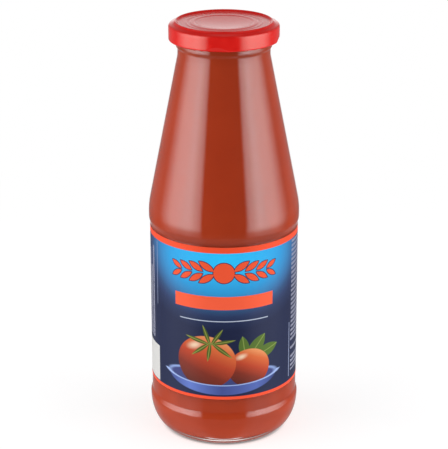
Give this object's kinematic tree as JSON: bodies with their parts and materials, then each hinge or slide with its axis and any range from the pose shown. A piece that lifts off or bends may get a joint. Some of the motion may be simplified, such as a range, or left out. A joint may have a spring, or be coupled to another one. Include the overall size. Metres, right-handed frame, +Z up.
{
  "type": "glass bottle of crushed tomatoes",
  "caption": "Tall clear glass bottle filled with crushed, sieved tomatoes, with a red twist-off metal lid and a blue and orange paper wrap label.",
  "frame": {"origin": "middle of the foot, on the surface that the bottle stands on", "axes": "+Z up along the bottle's axis, from the foot to the lid; the label's front faces -Y and its overlap +Y"},
  "size_m": [0.0786, 0.0786, 0.221],
  "materials": {
    "glass": "clear, smooth blown glass",
    "tomato": "wet, smooth crushed and sieved tomato, brick red",
    "label_paper": "printed, semi-gloss paper, navy to light blue with orange stripes",
    "lid_enamel": "glossy red enamel on tinplate"
  },
  "bodies": {
    "root": {"bottle": "glass", "passata": "tomato", "label": "label_paper", "lid": "lid_enamel"}
  },
  "joints": []
}
